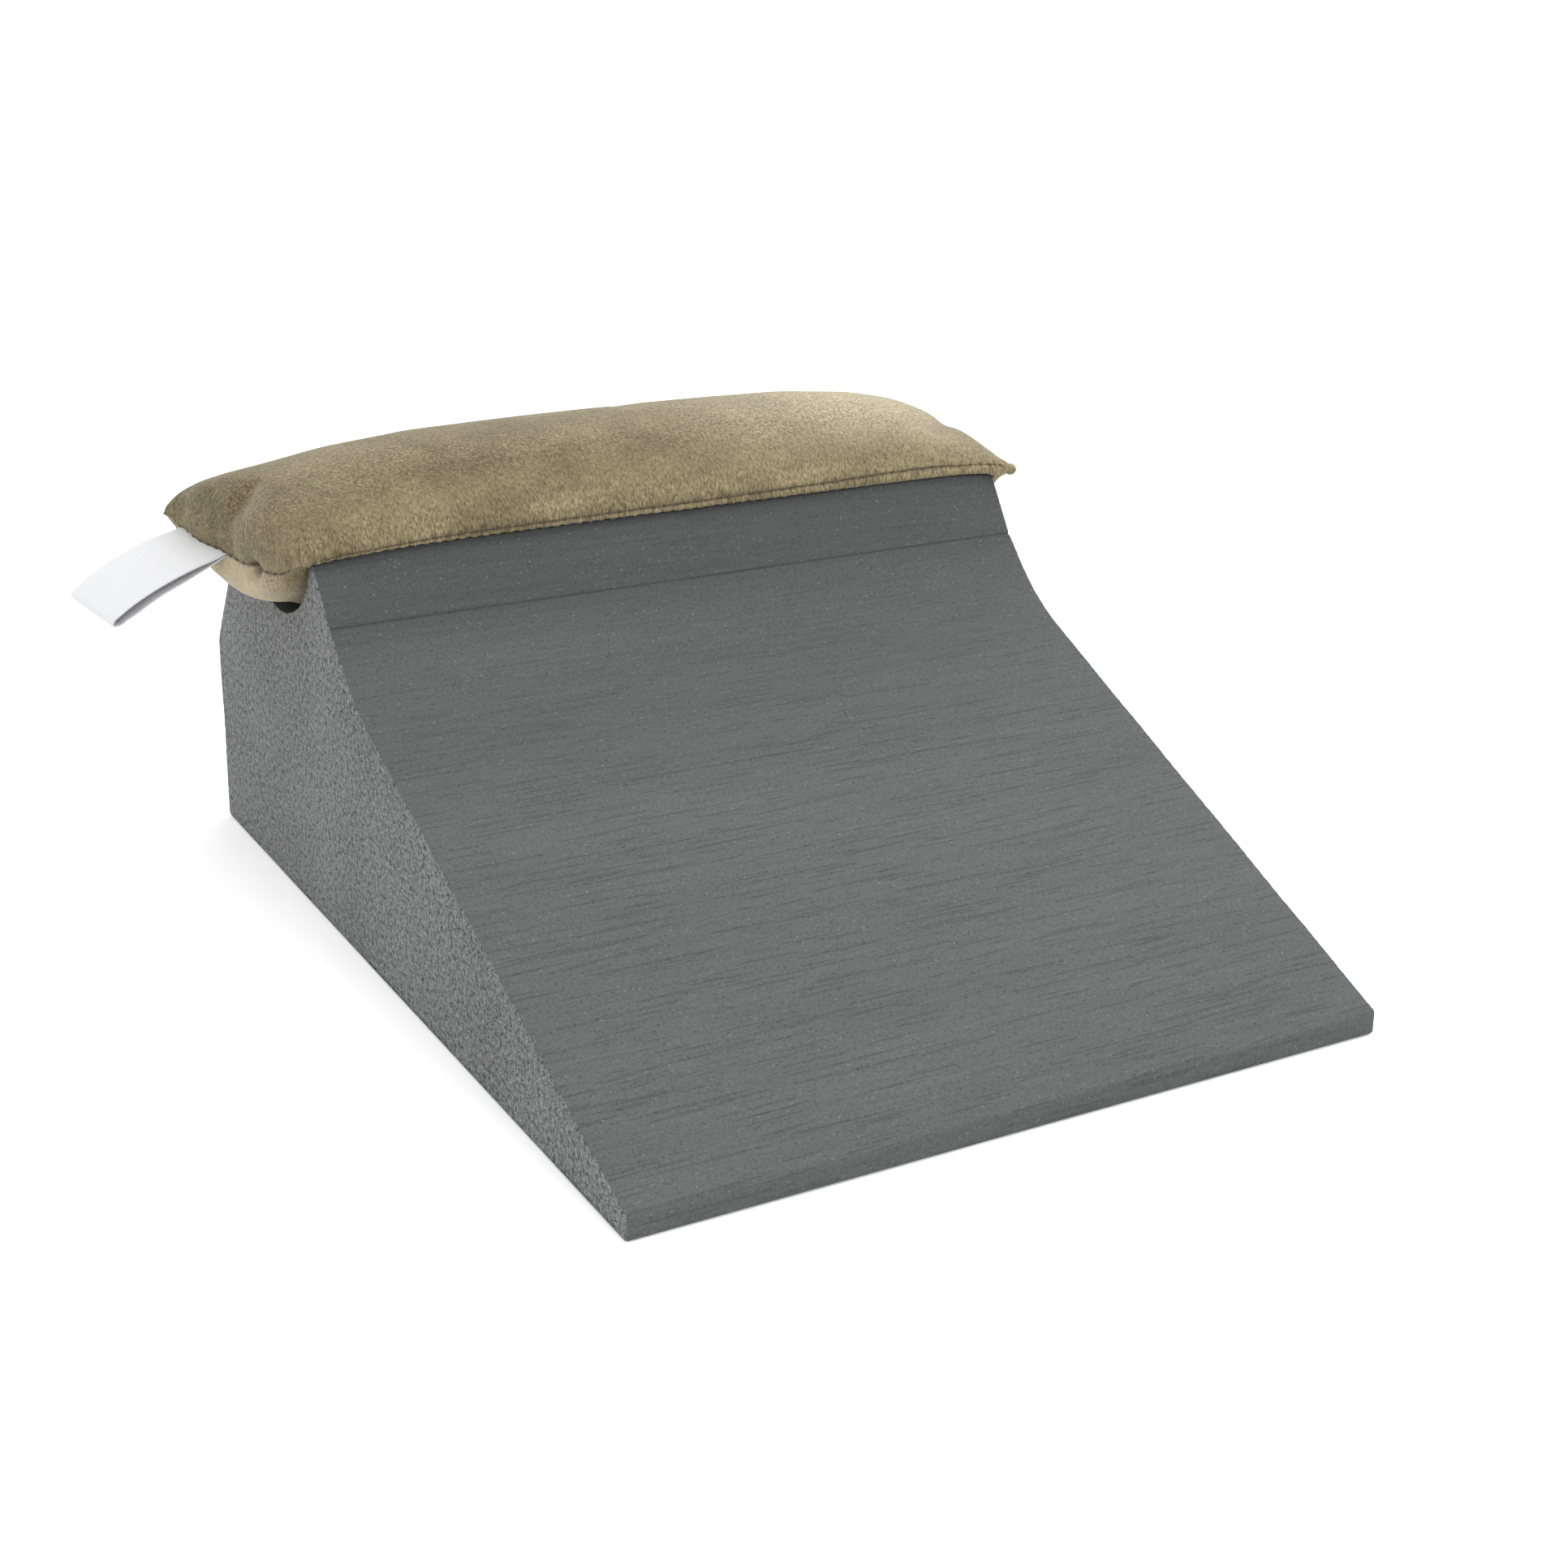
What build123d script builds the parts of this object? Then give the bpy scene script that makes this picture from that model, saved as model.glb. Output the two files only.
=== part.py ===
"""Small foam incline wedge with a round cradle along its top edge, and a sewn bolster cushion
that lies loose in the cradle and carries a folded woven tab in its end seam.

Frame: millimetres, +Z up, +X along the bolster, the ramp falls towards -Y.
The origin is the centre of the wedge's base.
"""

import os
from math import atan, atan2, cos, radians, sin, sqrt, tan

from build123d import *

# Foam wedge
block_width = 200.0  # along X
block_depth = 254.0  # along Y
nose_height = 6.2  # blunt front edge
lip_height = 96.0  # top of both cradle lips
lip_thickness = 2.4
cradle_radius = 26.2
cradle_depth = 19.1  # from the lips to the cradle's floor
back_run = 26.7  # from the back lip to the back face
knee_height = 52.6  # where the sloping back meets the upright back face
steep_angle = 51.0  # degrees, of the short stretch below the front lip
bend_height = 68.8  # where the lines of the ramp and the steep stretch would meet
bend_radius = 55.0
edge_radius = 0.9

# Bolster cushion
seat_gap = 0.3  # between the cushion and the foam
front_end_overhang = 6.0  # of each front corner past the foam's end
back_end_overhang = 20.0
side_overhang = 3.0  # of both long seams past the lips' outer faces
seam_rise = 4.5  # of the long seams above the lips
crown_rise = 18.5  # of the crown above the long seams
crown_shift = 4.0  # of the crown towards the back
cloth_thickness = 1.2
hem_clearance = 0.8  # past the foam's end, where the two panels come together
hem_slack = 0.1  # left between them at the hem
left_fullness = 6.0  # exponents: the larger, the blunter that end
right_fullness = 2.2
left_belly_fullness = 30.0
right_belly_fullness = 10.0
left_front_droop = 13.0  # of each corner below the long seams
left_back_droop = 5.5
right_front_droop = 2.2
right_back_droop = 4.0
thread_size = 0.6

# Woven tab, folded into a loop
tab_width = 20.0
tab_length = 31.0
tab_gap = 0.75  # from the seam thread to the tab's root, so that it can flap
tab_from_back = 17.5  # along the end seam, from the back corner to the tab's middle
tab_dip = 15.4  # degrees below the horizontal
tape_thickness = 0.35
root_slack = 0.2  # between the two layers at the seam
fold_radius = 0.5  # inside the fold

# Places that follow from the sizes above
mouth_half = sqrt(cradle_radius**2 - (cradle_radius - cradle_depth) ** 2)
cradle_y = block_depth / 2 - back_run - lip_thickness - mouth_half
front_lip_y = cradle_y - mouth_half - lip_thickness
back_lip_y = cradle_y + mouth_half + lip_thickness
steep_length = (lip_height - bend_height) / sin(radians(steep_angle))
bend_y = front_lip_y - steep_length * cos(radians(steep_angle))
ramp_angle = atan((bend_height - nose_height) / (bend_y + block_depth / 2))
half_bend = (radians(steep_angle) - ramp_angle) / 2
sweep_radius = min(bend_radius, 0.9 * steep_length / tan(half_bend))

with BuildPart() as foam_wedge:
    with BuildSketch(Plane.YZ.offset(-block_width / 2)):
        with BuildLine():
            Polyline(
                (cradle_y - mouth_half, lip_height),
                (front_lip_y, lip_height),
                (bend_y, bend_height),
                (-block_depth / 2, nose_height),
                (-block_depth / 2, 0),
                (block_depth / 2, 0),
                (block_depth / 2, knee_height),
                (back_lip_y, lip_height),
                (cradle_y + mouth_half, lip_height),
            )
            ThreePointArc(
                (cradle_y + mouth_half, lip_height),
                (cradle_y, lip_height - cradle_depth),
                (cradle_y - mouth_half, lip_height),
            )
        outline = make_face()
        fillet(outline.vertices().sort_by_distance((bend_y, bend_height))[0], sweep_radius)
    extrude(amount=block_width)
    long_edges = foam_wedge.edges().filter_by(Axis.X)
    rounded = long_edges.filter_by(
        lambda e: e.center().Z > lip_height - 0.01 or e.center().Y < 0.01 - block_depth / 2
    )
    fillet(rounded, edge_radius)
foam_wedge.part.label = "foam_wedge"

# The cushion is lofted through stations, from share -1 at the left end seam to 1 at the right.
# A station's plane passes through the front and the back seam, so it turns towards the ends.
seam_height = lip_height + seam_rise
front_seam_y = front_lip_y - side_overhang
back_seam_y = back_lip_y + side_overhang
front_half = block_width / 2 + front_end_overhang
back_half = block_width / 2 + back_end_overhang
hem_share = (block_width / 2 + hem_clearance) / front_half
brim_half = sqrt((cradle_radius - seat_gap) ** 2 - (cradle_radius - cradle_depth - seat_gap) ** 2)
brim_depth = seam_rise - seat_gap
belly_depth = seam_rise + cradle_depth - seat_gap
inner_shares = [0.45, 0.65, 0.8, 0.88, 0.93, hem_share]
filled_shares = [-share for share in reversed(inner_shares)] + inner_shares
all_shares = [-1, *filled_shares, 1]


def swell(share, fullness):
    """1 at mid-length, falling to 0 at the hems."""
    return sqrt(max(0.0, 1 - (abs(share) / hem_share) ** fullness))


class Station:
    """The cushion's cross-section at one share of its length, from seam to seam."""

    def __init__(self, share):
        front_x = share * front_half
        back_x = share * back_half
        turn = atan2(front_x - back_x, back_seam_y - front_seam_y)
        middle_x = front_x + (back_x - front_x) * (cradle_y - front_seam_y) / (back_seam_y - front_seam_y)
        self.plane = Plane(
            origin=(middle_x, cradle_y, 0),
            x_dir=(-sin(turn), cos(turn), 0),
            z_dir=(cos(turn), sin(turn), 0),
        )
        self.stretch = 1 / cos(turn)
        droops = (left_front_droop, left_back_droop) if share < 0 else (right_front_droop, right_back_droop)
        front_droop, back_droop = droops if abs(share) == 1 else (0, 0)
        self.front = ((front_seam_y - cradle_y) * self.stretch, seam_height - front_droop)
        self.back = ((back_seam_y - cradle_y) * self.stretch, seam_height - back_droop)
        self.crown = swell(share, left_fullness if share < 0 else right_fullness)
        self.belly = swell(share, left_belly_fullness if share < 0 else right_belly_fullness)

    def place(self, along, rise):
        """A point at a distance from the cradle's middle, and at a height over the seam-to-seam line."""
        part = (along * self.stretch - self.front[0]) / (self.back[0] - self.front[0])
        return (along * self.stretch, self.front[1] + part * (self.back[1] - self.front[1]) + rise)

    def seam_points(self, inset):
        """The front and back seam points, moved in by a distance."""
        return (
            self.place(front_seam_y - cradle_y + inset, 0),
            self.place(back_seam_y - cradle_y - inset, 0),
        )

    def arch(self, layer):
        """The top panel's line: layer is the cloth's thickness outside, and 0 inside."""
        front, back = self.seam_points(cloth_thickness * 1.5 - layer * 1.5)
        rise = max(hem_slack, (crown_rise - cloth_thickness) * self.crown) + layer
        ThreePointArc(front, self.place(crown_shift, rise), back)
        return front, back

    def trough(self, layer):
        """The bottom panel's line, which steps over both lips and sinks into the cradle."""
        front, back = self.seam_points(cloth_thickness * 1.5 - layer * 1.5)
        inset = cloth_thickness - layer
        brim = max(hem_slack, (brim_depth - cloth_thickness) * self.belly) + layer
        depth = max(2 * hem_slack, (belly_depth - cloth_thickness) * self.belly) + layer
        front_brim = self.place(inset - brim_half, -brim)
        back_brim = self.place(brim_half - inset, -brim)
        Line(front, front_brim)
        ThreePointArc(front_brim, self.place(0, -depth), back_brim)
        Line(back_brim, back)
        return front, back


def close_panel(outer, inner):
    """The cloth's edges at both seams, between its outer and its inner line."""
    for outer_end, inner_end in zip(outer, inner):
        Line(outer_end, inner_end)


with BuildPart() as cover_top_panel:
    for share in all_shares:
        station = Station(share)
        with BuildSketch(station.plane):
            with BuildLine():
                close_panel(station.arch(cloth_thickness), station.arch(0))
            make_face()
    loft(ruled=True)
cover_top_panel.part.label = "cover_top_panel"

with BuildPart() as cover_bottom_panel:
    for share in all_shares:
        station = Station(share)
        with BuildSketch(station.plane):
            with BuildLine():
                close_panel(station.trough(cloth_thickness), station.trough(0))
            make_face()
    loft(ruled=True)
cover_bottom_panel.part.label = "cover_bottom_panel"

with BuildPart() as filling:
    for share in filled_shares:
        station = Station(share)
        with BuildSketch(station.plane):
            with BuildLine():
                station.arch(0)
                station.trough(0)
            make_face()
    loft(ruled=True)
filling.part.label = "filling"

# The seam thread runs round the cushion just outside the edges where the panels meet.
with BuildPart() as seam_thread:
    for side in (0, 1):
        for share in all_shares:
            station = Station(share)
            along, height = station.seam_points(-thread_size / 2)[side]
            with BuildSketch(station.plane):
                with Locations((along, height)):
                    Rectangle(thread_size * station.stretch, thread_size)
        loft(ruled=True)
    for share in (-1, 1):
        station = Station(share)
        front, back = station.seam_points(-thread_size)
        with BuildSketch(station.plane):
            with BuildLine():
                Polyline(
                    (front[0], front[1] - thread_size / 2),
                    (back[0], back[1] - thread_size / 2),
                    (back[0], back[1] + thread_size / 2),
                    (front[0], front[1] + thread_size / 2),
                    close=True,
                )
            make_face()
        extrude(amount=share * thread_size)
seam_thread.part.label = "seam_thread"

# The tab's root lies along the left end seam; the plane below looks along that seam, from the
# front corner to the back one, with x out of the cushion and y up.
left_end = Station(-1)
front_corner, back_corner = (left_end.plane.from_local_coords(p) for p in (left_end.front, left_end.back))
seam_line = (back_corner - front_corner).normalized()
outward = Vector(-seam_line.Y, seam_line.X, 0).normalized()
upward = seam_line.cross(outward)
tab_direction = outward * cos(radians(tab_dip)) - upward * sin(radians(tab_dip))
tab_middle = back_corner - seam_line * tab_from_back + outward * (thread_size + tab_gap)
tab_plane = Plane(
    origin=tab_middle - seam_line * (tab_width / 2), x_dir=tab_direction, z_dir=seam_line
)
fold_start = tab_length - fold_radius - tape_thickness
root_half = root_slack / 2

with BuildPart() as woven_tab:
    with BuildSketch(tab_plane):
        with BuildLine():
            for layer in (0, tape_thickness):
                radius = fold_radius + layer
                Line((0, root_half + layer), (fold_start, radius))
                ThreePointArc((fold_start, radius), (fold_start + radius, 0), (fold_start, -radius))
                Line((fold_start, -radius), (0, -root_half - layer))
            Line((0, root_half), (0, root_half + tape_thickness))
            Line((0, -root_half), (0, -root_half - tape_thickness))
        make_face()
    extrude(amount=tab_width)
woven_tab.part.label = "woven_tab"

os.makedirs("parts", exist_ok=True)
export_step(foam_wedge.part, "parts/foam_wedge.step")
export_step(cover_top_panel.part, "parts/cover_top_panel.step")
export_step(cover_bottom_panel.part, "parts/cover_bottom_panel.step")
export_step(filling.part, "parts/filling.step")
export_step(seam_thread.part, "parts/seam_thread.step")
export_step(woven_tab.part, "parts/woven_tab.step")
print("tab hinge point", tab_middle, "and axis", seam_line)
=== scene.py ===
from math import atan2, cos, exp, hypot, pi, radians, sin, sqrt

import bmesh
import bpy
import numpy as np
from mathutils import Matrix, Vector, noise
from mathutils.kdtree import KDTree


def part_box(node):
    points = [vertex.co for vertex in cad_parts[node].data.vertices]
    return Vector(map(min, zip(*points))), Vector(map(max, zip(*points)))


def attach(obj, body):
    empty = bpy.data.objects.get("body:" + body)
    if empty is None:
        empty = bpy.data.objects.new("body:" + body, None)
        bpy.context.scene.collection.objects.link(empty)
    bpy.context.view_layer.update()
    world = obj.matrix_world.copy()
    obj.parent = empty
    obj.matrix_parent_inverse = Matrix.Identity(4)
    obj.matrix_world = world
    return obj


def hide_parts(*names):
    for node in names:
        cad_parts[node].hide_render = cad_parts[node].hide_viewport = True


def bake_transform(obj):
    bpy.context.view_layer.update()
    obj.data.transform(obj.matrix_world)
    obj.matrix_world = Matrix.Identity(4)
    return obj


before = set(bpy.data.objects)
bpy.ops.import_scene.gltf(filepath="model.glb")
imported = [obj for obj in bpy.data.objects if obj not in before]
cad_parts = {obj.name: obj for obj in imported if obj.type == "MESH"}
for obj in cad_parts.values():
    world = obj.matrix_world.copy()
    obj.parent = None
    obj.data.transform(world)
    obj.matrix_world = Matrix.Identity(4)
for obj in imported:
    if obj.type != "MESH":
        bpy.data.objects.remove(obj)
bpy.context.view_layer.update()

MM = 0.001
TOUCH = 1e-5  # places that are nearer than this, in metres, count as one
foam_low, foam_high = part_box("foam_wedge")


# ---------------------------------------------------------------- modelling helpers

def deselect():
    if bpy.context.mode != "OBJECT":
        bpy.ops.object.mode_set(mode="OBJECT")
    bpy.ops.object.select_all(action="DESELECT")


def pick(piece):
    """Makes a piece the only selected and the active object."""
    deselect()
    piece.select_set(True)
    bpy.context.view_layer.objects.active = piece
    return piece


def settle(piece):
    """Puts a piece's place, turn and scale into its mesh."""
    pick(piece)
    bpy.ops.object.transform_apply(location=True, rotation=True, scale=True)
    return piece


def finish_modifier(piece, kind, **settings):
    """Adds one modifier and applies it."""
    pick(piece)
    modifier = piece.modifiers.new(kind.title(), kind)
    for key, value in settings.items():
        setattr(modifier, key, value)
    bpy.ops.object.modifier_apply(modifier=modifier.name)


def copy_of(piece, name):
    """A second piece with its own mesh, picked for work."""
    twin = piece.copy()
    twin.data = piece.data.copy()
    twin.name = name
    bpy.context.scene.collection.objects.link(twin)
    return pick(twin)


def points_of(piece):
    points = np.zeros(len(piece.data.vertices) * 3)
    piece.data.vertices.foreach_get("co", points)
    return points.reshape(-1, 3)


def normals_of(piece):
    normals = np.zeros(len(piece.data.vertices) * 3)
    piece.data.vertices.foreach_get("normal", normals)
    return normals.reshape(-1, 3)


def set_points(piece, points):
    piece.data.vertices.foreach_set("co", np.asarray(points, float).ravel())
    piece.data.update()


def select_where(piece, kind, test):
    """Selects the vertices, edges or faces that pass a test, in edit mode; a vertex is tested by its place."""
    bpy.ops.mesh.select_mode(type=kind)
    bpy.ops.mesh.select_all(action="DESELECT")
    mesh = bmesh.from_edit_mesh(piece.data)
    if kind == "VERT":
        for vertex in mesh.verts:
            vertex.select_set(test(vertex.co))
    elif kind == "EDGE":
        for edge in mesh.edges:
            edge.select_set(test(edge))
    else:
        for face in mesh.faces:
            face.select_set(test(face))
    mesh.select_flush_mode()
    bmesh.update_edit_mesh(piece.data)


def smooth_by_angle(piece, angle):
    pick(piece)
    bpy.ops.object.shade_smooth_by_angle(angle=radians(angle))


# ---------------------------------------------------------------- shader helpers

class Socket:
    """A shader socket that takes part in arithmetic: each operator adds a Math node."""

    def __init__(self, shader, output):
        self.shader, self.output = shader, output

    def math(self, operation, *others):
        return self.shader.node("ShaderNodeMath", {"operation": operation}, [self, *others])

    def __add__(self, other):
        return self.math("ADD", other)

    def __sub__(self, other):
        return self.math("SUBTRACT", other)

    def __rsub__(self, other):
        return self.shader.node("ShaderNodeMath", {"operation": "SUBTRACT"}, [other, self])

    def __mul__(self, other):
        return self.math("MULTIPLY", other)

    __radd__, __rmul__ = __add__, __mul__

    def clamped(self):
        return self.math("MINIMUM", 1.0).math("MAXIMUM", 0.0)


class Shader:
    """One material and its nodes."""

    def __init__(self, name, **constants):
        self.material = bpy.data.materials.new(name)
        self.material.use_nodes = True
        self.nodes, self.links = self.material.node_tree.nodes, self.material.node_tree.links
        self.surface = self.nodes["Principled BSDF"]
        for socket, value in constants.items():
            self.surface.inputs[socket.replace("_", " ")].default_value = value

    def node(self, kind, settings=None, values=None, out=0):
        """Adds a node: its settings first, then the values or links of its sockets."""
        node = self.nodes.new(kind)
        for key, value in (settings or {}).items():
            if key == "stops":
                ramp = node.color_ramp
                while len(ramp.elements) < len(value):
                    ramp.elements.new(0.5)
                for element, (place, colour) in zip(ramp.elements, value):
                    element.position = place
                    element.color = colour if hasattr(colour, "__len__") else (colour, colour, colour, 1)
            else:
                setattr(node, key, value)
        pairs = values.items() if isinstance(values, dict) else enumerate(values or [])
        for socket, value in pairs:
            self.feed(node.inputs[socket], value)
        return Socket(self, node.outputs[out])

    def feed(self, socket, value):
        if isinstance(value, Socket):
            self.links.new(value.output, socket)
        else:
            socket.default_value = value

    def place(self):
        return self.node("ShaderNodeTexCoord", out="Object")

    def attribute(self, name, out):
        return self.node("ShaderNodeAttribute", {"attribute_name": name}, out=out)

    def axis(self, vector, name):
        return self.node("ShaderNodeSeparateXYZ", values=[vector], out=name)

    def scaled(self, vector, scale):
        return self.node("ShaderNodeVectorMath", {"operation": "MULTIPLY"}, [vector, scale])

    def distance(self, vector, other):
        return self.node("ShaderNodeVectorMath", {"operation": "DISTANCE"}, [vector, other], out="Value")

    def noise(self, vector, scale, detail=2.0, roughness=0.5):
        values = {"Vector": vector, "Scale": scale, "Detail": detail, "Roughness": roughness}
        return self.node("ShaderNodeTexNoise", values=values)

    def cells(self, vector, scale):
        """The distance to the nearest cell's middle."""
        values = {"Vector": vector, "Scale": scale}
        return self.node("ShaderNodeTexVoronoi", {"feature": "F1"}, values, out="Distance")

    def grey(self, value):
        """A number as an even grey colour."""
        return self.node("ShaderNodeCombineColor", values=[value, value, value])

    def ramp(self, value, *stops):
        return self.node("ShaderNodeValToRGB", {"stops": stops}, [value])

    def mix(self, factor, first, second, blend="MIX"):
        """Mixes two colours."""
        settings = {"data_type": "RGBA", "blend_type": blend}
        return self.node("ShaderNodeMix", settings, {0: factor, 6: first, 7: second}, out=2)

    def bump(self, height, distance, strength):
        values = {"Height": height, "Distance": distance, "Strength": strength}
        return self.node("ShaderNodeBump", values=values)

    def set(self, **sockets):
        for name, value in sockets.items():
            self.feed(self.surface.inputs[name.replace("_", " ")], value)
        return self.material


# ---------------------------------------------------------------- foam finishes

CREASE = Vector((162.0, 82.6))  # where the steep stretch meets the lip: distance from the front and height
CUT_GREY, CUT_SHADOW, CUT_SPECK = (0.094, 0.099, 0.097, 1), (0.028, 0.030, 0.030, 1), (0.30, 0.31, 0.31, 1)
SAWN_GREY, PIT_SHADOW, CELL_WALL = (0.134, 0.136, 0.135, 1), (0.026, 0.027, 0.029, 1), (0.32, 0.325, 0.33, 1)
PAINTED_SHADE_BY_HEIGHT = [  # height in decimetres, and how bright the cut face is painted there: painted shade darkens it at its foot and towards its top, under the bolster
    (0.052, 0.84), (0.064, 1.0), (0.45, 1.0), (0.74, 0.84), (0.84, 0.68),
]


def foam_cut_finish():
    """The wire-cut faces: long fine scores across the block over a grain of torn cells."""
    foam = Shader("foam_cut", Roughness=0.85, Specular_IOR_Level=0.25)
    place = foam.place()
    height_up = foam.axis(place, "Z")
    broad = foam.noise(foam.scaled(place, (7, 45, 45)), 1.0, 3)
    ridges = foam.noise(foam.scaled(place, (34, 900, 900)), 1.0, 4, 0.65)
    scores = foam.noise(foam.scaled(place, (42, 1300, 1300)), 1.0, 2, 0.5)
    grain = foam.noise(place, 1500, 3, 0.75)
    specks = foam.cells(place, 420)
    fewer_above = foam.ramp(height_up * 10, (0.50, 1.0), (0.75, 0.35))
    score_lines = foam.ramp(scores, (0.33, 1.0), (0.40, 0.0)) * fewer_above
    pale_specks = foam.ramp(specks, (0.08, 1.0), (0.14, 0.0))
    # painted shade in the open pores of the grain
    pore_shade = foam.ramp(grain, (0.32, 1.0), (0.41, 0.0))
    # painted shade: a dark line along the crease's slit
    crease_shade = (1.0 - (height_up - CREASE.y * MM).math("ABSOLUTE") * 3500).clamped()
    # painted shade: the cut face is darkened by height, most towards its top under the bolster
    painted_shade = foam.ramp(height_up * 10, *PAINTED_SHADE_BY_HEIGHT)
    tone = (broad * 0.30 + ridges * 0.38 + grain + 0.13) * painted_shade
    body = foam.mix(1.0, CUT_GREY, foam.grey(tone), "MULTIPLY")
    # the score lines darken the face, and painted shade darkens the pores and the crease
    scores_and_shade = (score_lines * 0.16 + pore_shade * 0.55 + crease_shade * 0.6).clamped()
    scored = foam.mix(scores_and_shade, body, CUT_SHADOW)
    colour = foam.mix(pale_specks * 0.25, scored, CUT_SPECK)
    height = ridges * 0.5 + grain * 0.5 - score_lines * 0.3
    return foam.set(Base_Color=colour, Normal=foam.bump(height, 0.0007, 0.9))


def foam_side_finish():
    """The sawn ends: open cells show as dark pits between pale cell walls."""
    foam = Shader("foam_side", Roughness=0.9, Specular_IOR_Level=0.25)
    place = foam.place()
    clusters = foam.noise(place, 700, 4, 0.75)
    fine = foam.noise(place, 1900, 3, 0.7)
    cloud = foam.noise(place, 30, 3)
    pits = foam.ramp(clusters * 0.6 + fine * 0.4, (0.42, 1.0), (0.485, 0.0))
    walls = foam.ramp(clusters * 0.5 + fine * 0.5, (0.50, 0.0), (0.58, 1.0))
    tone = cloud * 0.8 + fine * 0.5 + 0.35
    body = foam.mix(1.0, SAWN_GREY, foam.grey(tone), "MULTIPLY")
    pitted = foam.mix(pits * 0.9, body, PIT_SHADOW)
    colour = foam.mix(walls * 0.6, pitted, CELL_WALL)
    height = clusters * 0.7 + fine * 0.4
    return foam.set(Base_Color=colour, Normal=foam.bump(height, 0.0010, 0.9))


# ---------------------------------------------------------------- foam wedge

RAMP_CORNERS = [  # distance from the front edge, height and rounding, in millimetres
    (0, 6.2, 0.9),
    (146.9, 67.5, 55.7),
    (*CREASE, 0.1),
    (172.1, 96.0, 0.9),
    (174.6, 96.0, 0.9),
]
BACK_CORNERS = [(225.0, 96.0, 0.9), (227.3, 96.0, 0.9), (254.0, 52.6, 2.5), (254.0, 0, 0.9), (0, 0, 0.9)]
CRADLE_MIDDLE = Vector((199.8, 103.1))
CRADLE_RADIUS, CRADLE_STEPS = 26.2, 72
LIP_TOP = 96.0
LIP_FOOT = 2  # how far above the crease the lip starts to rise towards its middle
FOAM_COLUMNS = 48
RIDGE_PITCH, BASE_PITCH = 0.55, 20  # how far apart the rows of faces are
HALF_BLOCK = 100
LEFT_FALL, LEFT_FALL_LENGTH = 2.2, 14  # how far the lip's ends fall off, and over what length
RIGHT_FALL, RIGHT_FALL_LENGTH = 1.4, 6
RIDGE_DEPTH, WAVER_DEPTH, SLIT_DEPTH, SLIT_WIDTH = 0.08, 0.25, 0.4, 0.45


def corner_turn(before, at, after, radius):
    """Start, end and middle of a rounded corner, and its turn (positive to the right)."""
    inward, outward = (at - before).normalized(), (after - at).normalized()
    turn = -atan2(inward.x * outward.y - inward.y * outward.x, inward.dot(outward))
    cut = abs(radius * sin(turn / 2) / cos(turn / 2))
    hand = 1 if turn > 0 else -1
    start = at - inward * cut
    return start, at + outward * cut, start + Vector((inward.y, -inward.x)) * hand * radius, turn


def outline_turns():
    """Every rounded corner of the wedge, from the top of its front edge round to the foot."""
    front = [Vector(c[:2]) for c in RAMP_CORNERS]
    back = [Vector(c[:2]) for c in BACK_CORNERS]
    front_arm, back_arm = front[-1] - CRADLE_MIDDLE, back[0] - CRADLE_MIDDLE
    into_cradle = front[-1] + Vector((-front_arm.y, front_arm.x))
    out_of_cradle = back[0] + Vector((back_arm.y, -back_arm.x))
    turns = []
    for path, corners in (
        ([back[-1], *front, into_cradle], RAMP_CORNERS),
        ([out_of_cradle, *back, front[0]], BACK_CORNERS),
    ):
        for i, corner in enumerate(corners, 1):
            turns.append(corner_turn(path[i - 1], path[i], path[i + 1], corner[2]))
    return turns


def in_frame(point):
    """An outline point's place in the row frame, as (y, z) in metres."""
    return foam_low.y + point[0] * MM, foam_low.z + point[1] * MM


def run_edge(here, there, pitch):
    """Extrudes the leading edge straight to a point, in even steps."""
    length = (there - here).length
    steps = max(1, round(length / pitch)) if length > 0.01 else 0
    for _ in range(steps):
        shift = (there - here) / steps * MM
        bpy.ops.mesh.extrude_region_move(TRANSFORM_OT_translate={"value": (0, shift.x, shift.y)})


def turn_edge(middle, angle, steps):
    """Extrudes the leading edge round a middle point; a positive angle turns to the right."""
    y, z = in_frame(middle)
    bpy.ops.mesh.spin(steps=steps, angle=angle, center=(0, y, z), axis=(1, 0, 0))


def foam_skin():
    """The wedge's long faces: one strip, drawn round the outline by its leading edge."""
    turns = outline_turns()
    foot, top = turns[-1][1], turns[0][0]
    y, z = in_frame((foot + top) / 2)
    deselect()
    bpy.ops.mesh.primitive_grid_add(
        x_subdivisions=FOAM_COLUMNS, y_subdivisions=1, size=1, location=(0, y, z), rotation=(pi / 2, 0, 0)
    )
    piece = bpy.context.active_object
    piece.name = "foam_block"
    piece.scale = (foam_high.x - foam_low.x, (top - foot).length * MM, 1)
    settle(piece)
    lead = in_frame(top)[1] - TOUCH
    bpy.ops.object.mode_set(mode="EDIT")
    select_where(piece, "VERT", lambda co: co.z > lead)
    bpy.ops.mesh.select_mode(type="EDGE")
    here = top
    for number, (start, end, middle, turn) in enumerate(turns):
        if number == len(RAMP_CORNERS):
            sweep = (here - CRADLE_MIDDLE).angle(start - CRADLE_MIDDLE)
            turn_edge(CRADLE_MIDDLE, -sweep, CRADLE_STEPS)
        else:
            on_base = number == len(turns) - 1
            run_edge(here, start, BASE_PITCH if on_base else RIDGE_PITCH)
        radius = (RAMP_CORNERS + BACK_CORNERS)[number][2]
        turn_edge(middle, turn, max(3, round(abs(turn) * radius / RIDGE_PITCH)))
        here = end
    bpy.ops.mesh.select_all(action="SELECT")
    bpy.ops.mesh.remove_doubles(threshold=0.00004)
    return piece


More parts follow.
